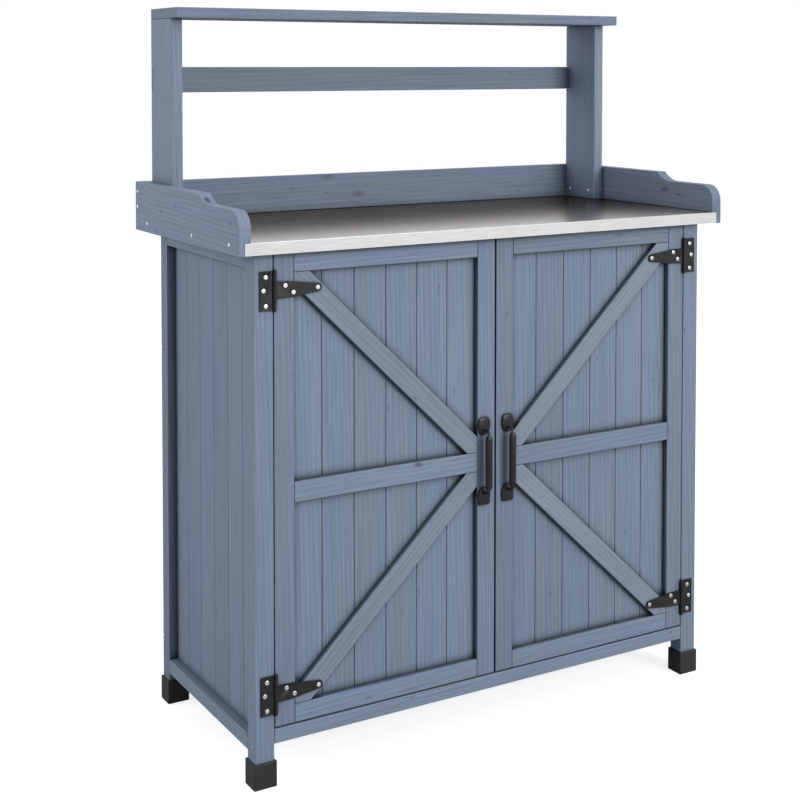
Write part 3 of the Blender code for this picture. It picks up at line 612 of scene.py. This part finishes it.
def screws(name, head, places, facing, body, material):
    """Copies a head to each place, turned a different way each time, and joins them."""
    turn_out = Vector((0.0, -1.0, 0.0)).rotation_difference(Vector(facing)).to_matrix().to_4x4()
    copies = []
    for index, place in enumerate(places):
        mesh = head.data.copy()
        twist = Matrix.Rotation(math.radians(SCREW_TWIST[1] * index + SCREW_TWIST[0]), 4, "Y")
        mesh.transform(Matrix.Translation(Vector(place)) @ turn_out @ twist)
        copy = bpy.data.objects.new(name, mesh)
        bpy.context.collection.objects.link(copy)
        copies.append(copy)
    settle(join(copies), name, body, material)


# Hinges: (distance from the pin towards the outside, height above the hinge's middle)
PLATE_SCREWS = [(0.0148, 0.0220), (0.0186, 0.0008), (0.0148, -0.0236)]
LEFT_STRAP_SCREWS = [(-0.0193, 0.0067), (-0.0335, -0.0049), (-0.0767, -0.0001)]
RIGHT_STRAP_SCREWS = [(-0.0142, -0.0052), (-0.0245, 0.0078), (-0.0755, 0.0002)]
LEAF_THICK = 1.6 * MM
LEAF_EDGE = 0.25 * MM
RECESS_FLARE = 1.1            # the cutter's wide end stands out of the leaf


def countersunk_leaf(node, places, body, depth_face):
    """The leaf with a shallow countersink round each screw and its edges broken."""
    leaf = merged_copy(node)
    for x, z in places:
        deselect()
        bpy.ops.mesh.primitive_cone_add(vertices=RECESS_SIDES, radius1=RECESS_RADIUS * RECESS_FLARE,
                                        radius2=HINGE_SCREW_RADIUS, depth=RECESS_DEPTH * 2,
                                        location=(x, depth_face, z), rotation=(math.radians(-90), 0, 0))
        cutter = bpy.context.object
        apply_place()
        cut(leaf, cutter)
    break_edges(leaf, LEAF_EDGE)
    settle(leaf, node + "_leaf", body, STEEL, FLAT_SMOOTH)
    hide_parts(node)


def build_hinges():
    head = screw_head(HINGE_SCREW_RADIUS, HINGE_SCREW_HEIGHT)
    for side_name, side in SIDES.items():
        for level in ("upper", "lower"):
            base = f"hinge_{level}_{side_name}"
            pin_low, pin_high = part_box(base + "_pin")
            pin = (pin_low + pin_high) / 2
            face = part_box(base + "_plate")[1].y - LEAF_THICK
            strap_screws = LEFT_STRAP_SCREWS if side < 0 else RIGHT_STRAP_SCREWS
            for part, body, pattern in (("plate", "bench", PLATE_SCREWS),
                                        ("strap", "door_" + side_name, strap_screws)):
                places = [(pin.x + side * out, pin.z + up) for out, up in pattern]
                countersunk_leaf(f"{base}_{part}", places, body, face)
                seats = [(x, face + RECESS_DEPTH, z) for x, z in places]
                screws(f"{base}_{part}_screws", head, seats, (0, -1, 0), body, ZINC)
    bpy.data.objects.remove(head)


# Pulls

def pull_plate(x, back, middle, away):
    """Screw plate: a shield that is widest in the middle and drawn in to a round point at the grip."""
    far = middle + away * PLATE_FAR
    near = far - away * PLATE_HEIGHT
    front = back - PLATE_THICK
    deselect()
    bpy.ops.mesh.primitive_cube_add(size=1.0, location=(x, (back + front) / 2, (far + near) / 2))
    plate = bpy.context.object
    plate.scale = (PLATE_WIDTH, PLATE_THICK, PLATE_HEIGHT)
    apply_place()
    bpy.ops.object.mode_set(mode="EDIT")
    pick("EDGE", lambda e: abs(e.verts[0].co.z - e.verts[1].co.z) > PLATE_HEIGHT / 2)
    bpy.ops.mesh.subdivide(number_cuts=1)
    pick("VERT", lambda v: abs(v.co.z - near) < MM)
    bpy.ops.transform.resize(value=(PLATE_NEAR_SHARE, 1.0, 1.0), center_override=(x, back, near))
    pick("VERT", lambda v: abs(v.co.z - far) < MM)
    bpy.ops.transform.resize(value=(PLATE_FAR_SHARE, 1.0, 1.0), center_override=(x, back, far))
    for end, radius in ((near, NEAR_CORNER), (far, FAR_CORNER[away])):
        pick("EDGE", lambda e: abs(e.verts[0].co.y - e.verts[1].co.y) > MM
             and abs(e.verts[0].co.z - end) < MM)
        bpy.ops.mesh.bevel(offset=radius, segments=CORNER_STEPS, affect="EDGES")
    pick("FACE", lambda face: face.normal.y < -FACING)
    bpy.ops.mesh.inset(thickness=PLATE_RIM)
    bpy.ops.transform.translate(value=(0.0, -PLATE_RISE, 0.0))
    pick("EDGE", lambda e: all(abs(v.co.y - front) < SAME_FACE for v in e.verts))
    bpy.ops.mesh.bevel(offset=PLATE_SOFTEN, segments=SOFTEN_STEPS, affect="EDGES")
    bpy.ops.object.mode_set(mode="OBJECT")
    return plate


def pull_grip(x, axis_y, back, middle):
    """Oval grip with tapered shoulders and a bent neck at each end."""
    deselect()
    bpy.ops.mesh.primitive_cylinder_add(vertices=GRIP_SIDES, radius=GRIP_RADIUS, depth=2 * GRIP_HALF,
                                        location=(x, axis_y, middle))
    grip = bpy.context.object
    grip.scale = (1.0, GRIP_FLATTEN, 1.0)
    apply_place()
    bpy.ops.object.mode_set(mode="EDIT")
    for end in (1, -1):
        level = middle + end * GRIP_HALF
        pick("FACE", lambda face: all(abs(v.co.z - level) < SAME_POINT for v in face.verts))
        for length, share in TAPER:
            level += end * SHOULDER * length
            bpy.ops.mesh.extrude_region_move(
                TRANSFORM_OT_translate={"value": (0.0, 0.0, end * SHOULDER * length)})
            bpy.ops.transform.resize(value=(share, share, 1.0), center_override=(x, axis_y, level))
        bpy.ops.mesh.spin(steps=BEND_STEPS, angle=math.radians(90) * end, axis=(1.0, 0.0, 0.0),
                          center=(x, axis_y + NECK_BEND, level))
        reach = back - PLATE_THICK / 2 - axis_y - NECK_BEND
        bpy.ops.mesh.extrude_region_move(TRANSFORM_OT_translate={"value": (0.0, reach, 0.0)})
    bpy.ops.object.mode_set(mode="OBJECT")
    return grip


def build_pulls():
    for side_name in SIDES:
        node = f"door_{side_name}_handle"
        low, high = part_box(node)
        x = (low.x + high.x) / 2
        middle = (low.z + high.z) / 2
        axis_y = low.y + GRIP_RADIUS * GRIP_FLATTEN + GRIP_CLEAR
        pull = pull_grip(x, axis_y, high.y, middle)
        for away in (1, -1):
            cut(pull, pull_plate(x, high.y, middle, away), "UNION")
        settle(pull, f"pull_{side_name}", "door_" + side_name, BRONZE,
               CAST_SMOOTH)
        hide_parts(node)


# Screws in the wood: (y, z) on the outer faces of the side boards, posts and legs
SIDE_BOARD_SCREWS = [(0.217, 0.919), (0.217, 0.892), (0.170, 0.865), (-0.035, 0.865),
                     (-0.186, 0.8655)]
POST_SCREWS = [(0.183, 0.888), (0.121, 0.888)]
FRONT_LEG_SCREWS = [(-0.190, 0.064)]
BACK_LEG_SCREWS = [(0.185, 0.80), (0.185, 0.64), (0.185, 0.542), (0.185, 0.418), (0.185, 0.118)]


def drilled_board(node, side):
    """A side board with sanded edges and a shallow hole round each screw."""
    board = merged_copy(node)
    break_edges(board, BOARD_EDGE)
    low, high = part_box(node)
    outer = low.x if side < 0 else high.x
    for y, z in SIDE_BOARD_SCREWS:
        deselect()
        bpy.ops.mesh.primitive_cylinder_add(vertices=HOLE_SIDES, radius=HOLE_RADIUS,
                                            depth=HOLE_DEPTH * 2, location=(outer, y, z),
                                            rotation=(0, math.radians(90), 0))
        cutter = bpy.context.object
        apply_place()
        cut(board, cutter)
    stain = nodes[node].data.materials[0]
    settle(board, node + "_drilled", "bench", stain, FLAT_SMOOTH)
    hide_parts(node)
    return outer


def build_wood_screws():
    small = screw_head(BOARD_SCREW_RADIUS, BOARD_SCREW_HEIGHT)
    dome = screw_head(LEG_SCREW_RADIUS, LEG_SCREW_HEIGHT)
    for side_name, side in SIDES.items():
        outer = drilled_board(f"side_board_{side_name}", side)
        sunk = outer - side * HOLE_DEPTH
        screws(f"side_board_{side_name}_screws", small, [(sunk, y, z) for y, z in SIDE_BOARD_SCREWS],
               (side, 0, 0), "bench", CLEAR_ZINC)
        post_low, post_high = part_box(f"post_{side_name}")
        inner = post_high.x if side < 0 else post_low.x
        screws(f"post_{side_name}_screws", small, [(inner, y, z) for y, z in POST_SCREWS],
               (-side, 0, 0), "bench", CLEAR_ZINC)
        leg_low, leg_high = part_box(f"leg_front_{side_name}")
        face = leg_low.x if side < 0 else leg_high.x
        leg_places = [(face, y, z) for y, z in FRONT_LEG_SCREWS + BACK_LEG_SCREWS]
        screws(f"leg_{side_name}_screws", dome, leg_places, (side, 0, 0), "bench", STAINED_SCREW)
    bpy.data.objects.remove(small)
    bpy.data.objects.remove(dome)


# Boards: which way the grain runs, and the tone of the prominent ones
ALONG = {"z": (0.0, 0.0, 0.0), "x": (0.0, math.radians(90), 0.0), "y": (math.radians(90), 0.0, 0.0)}
UPPER_BRACE_LEAN = 46.0       # degrees off upright
LOWER_BRACE_LEAN = 46.8
DOOR_BOARDS = ("X", 0.0329, 0.0595)     # axis across the boards, first joint, pitch
SIDE_BOARDS = ("Y", -0.004, 0.0585)
BACK_BOARDS = ("X", 0.0, 0.0700)
HARDWARE = {"hinge": STEEL, "foot": PLASTIC}
# boards made darker or lighter than the rest
TONES = {"back_board": 0.77, "back_rail": 0.80, "top_shelf": 0.77, "side_board_right": 0.80,
         "post_left": 0.92, "post_right": 0.96, "leg_front_right": 0.95, "leg_back_left": 0.86,
         "door_left_panel": 0.97, "door_left_hinge_stile": 0.91, "door_right_hinge_stile": 0.88,
         "door_left_meeting_stile": 0.88, "door_right_meeting_stile": 0.79, "door_right_panel": 0.90,
         "door_left_upper_brace": 0.90, "door_left_lower_brace": 0.96,
         "door_right_top_rail": 0.86, "door_right_middle_rail": 0.89}
DEEP_PAINTED_SHADE = 0.12              # doors and back legs, whose inside corners get the darkest painted shade
SOFT_PAINTED_SHADE = 0.55
SEED = 21
CUT_SPREAD = (0, 9)           # where in the pattern a board is cut
TONE_SPREAD = (0.97, 1.04)
# knots that lie across an edge or stand out on a face: place, radius in mm, share of the tone left
KNOTS = {
    "side_board_left": [((-0.481, -0.088, 0.928), 7.0, 0.22), ((-0.490, 0.097, 0.893), 3.6, 0.66),
                        ((-0.490, 0.129, 0.858), 3.2, 0.66), ((-0.490, -0.193, 0.899), 3.0, 0.62)],
    "side_board_right": [((0.469, -0.091, 0.904), 6.0, 0.55), ((0.469, -0.131, 0.897), 3.6, 0.62),
                         ((0.472, -0.088, 0.932), 6.0, 0.50)],
    "back_board": [((-0.049, 0.199, 0.897), 7.0, 0.62), ((-0.116, 0.199, 0.932), 7.0, 0.70)],
    "door_right_top_rail": [((0.268, -0.201, 0.838), 5.0, 0.76)],
    "door_left_bottom_rail": [((-0.250, -0.201, 0.104), 4.5, 0.80)],
}


def grain_turn(node):
    if node.endswith("brace"):
        lean = UPPER_BRACE_LEAN if "upper" in node else -LOWER_BRACE_LEAN
        return (0.0, math.radians(lean if "left" in node else -lean), 0.0)
    if "panel" in node and "floor" not in node:
        return ALONG["z"]
    low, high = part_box(node)
    size = high - low
    longest = max(range(3), key=lambda axis: size[axis])
    return ALONG["xyz"[longest]]


def dress_boards():
    chance = random.Random(SEED)
    for node in sorted(nodes):
        kind = node.split("_")[0]
        item = nodes[node]
        if kind in HARDWARE:
            material = HARDWARE[kind]
        elif node == "worktop_sheet":
            material = SHEET
        elif node.endswith("handle"):
            material = BRONZE
        else:
            boards = None
            if node.startswith("door") and node.endswith("panel"):
                boards = DOOR_BOARDS
            elif node.startswith("side_panel"):
                boards = SIDE_BOARDS
            elif node == "back_panel":
                boards = BACK_BOARDS
            shift = [round(chance.uniform(*CUT_SPREAD), 2) for axis in range(3)]
            tone = chance.uniform(*TONE_SPREAD) * TONES.get(node, 1.0)
            stain = BRACE_STAIN if node.endswith("brace") else PANEL_STAIN
            deep = kind == "door" or node.startswith("leg_back")
            material = stained_fir("stained_fir_" + node, grain_turn(node), shift, tone, stain,
                                   DEEP_PAINTED_SHADE if deep else SOFT_PAINTED_SHADE, KNOTS.get(node, []), boards)
        item.data.materials.clear()
        item.data.materials.append(material)


# Studio

ROOM_LIGHT = 0.50             # strength of the white room on matt surfaces
FLOOR_GLOW = 0.78
FLOOR_SIZE = 14.0
FLOOR_DROP = 0.2 * MM         # keeps the floor clear of the foot caps
LAMP_AIM = (0.0, 0.0, 0.6)
SOFTBOXES = [                 # name, place, width, watts
    ("overhead", (0.3, -0.6, 3.6), 3.0, 42.0),
    ("key", (1.9, -5.2, 2.2), 2.2, 212.0),
    ("side", (-3.6, 0.9, 1.6), 2.0, 58.0),
    ("sparkle", (0.4, -3.0, 3.2), 0.12, 9.0),
]


def build_studio():
    deselect()
    bpy.ops.mesh.primitive_plane_add(size=FLOOR_SIZE, location=(0.0, 0.0, -FLOOR_DROP))
    floor = bpy.context.object
    floor.name = "studio_floor"
    floor.data.materials.append(pale_floor())

    world = bpy.data.worlds.new("studio")
    bpy.context.scene.world = world
    world.use_nodes = True
    tree = world.node_tree
    soft = tree.nodes["Background"]
    soft.inputs["Color"].default_value = linear("#FFFFFF")
    soft.inputs["Strength"].default_value = ROOM_LIGHT
    # the white room behind, as the lens and the polished parts see it
    seen = add(tree, "ShaderNodeBackground", {"Color": linear("#FFFFFF"), "Strength": 1.0})
    path = add(tree, "ShaderNodeLightPath")
    mixed = add(tree, "ShaderNodeMixShader",
                {0: path.outputs["Is Diffuse Ray"], 1: seen.outputs[0], 2: soft.outputs[0]})
    tree.links.new(mixed.outputs[0], tree.nodes["World Output"].inputs["Surface"])

    for name, place, size, power in SOFTBOXES:
        light = bpy.data.lights.new(name, "AREA")
        light.energy = power
        light.size = size
        lamp = bpy.data.objects.new(name, light)
        lamp.location = place
        lamp.rotation_euler = (Vector(LAMP_AIM) - Vector(place)).to_track_quat("-Z", "Y").to_euler()
        bpy.context.collection.objects.link(lamp)


def build_camera():
    camera = bpy.data.cameras.new("camera")
    camera.lens = LENS
    camera.sensor_width = SENSOR
    camera.shift_y = SHIFT_Y
    item = bpy.data.objects.new("camera", camera)
    item.location = CAMERA_PLACE
    item.rotation_euler = Euler((math.radians(CAMERA_PITCH), 0.0, math.radians(CAMERA_YAW)))
    bpy.context.collection.objects.link(item)
    bpy.context.scene.camera = item


build_camera()
dress_boards()
build_hinges()
build_pulls()
build_wood_screws()
build_studio()
bpy.context.scene.view_settings.view_transform = "Standard"
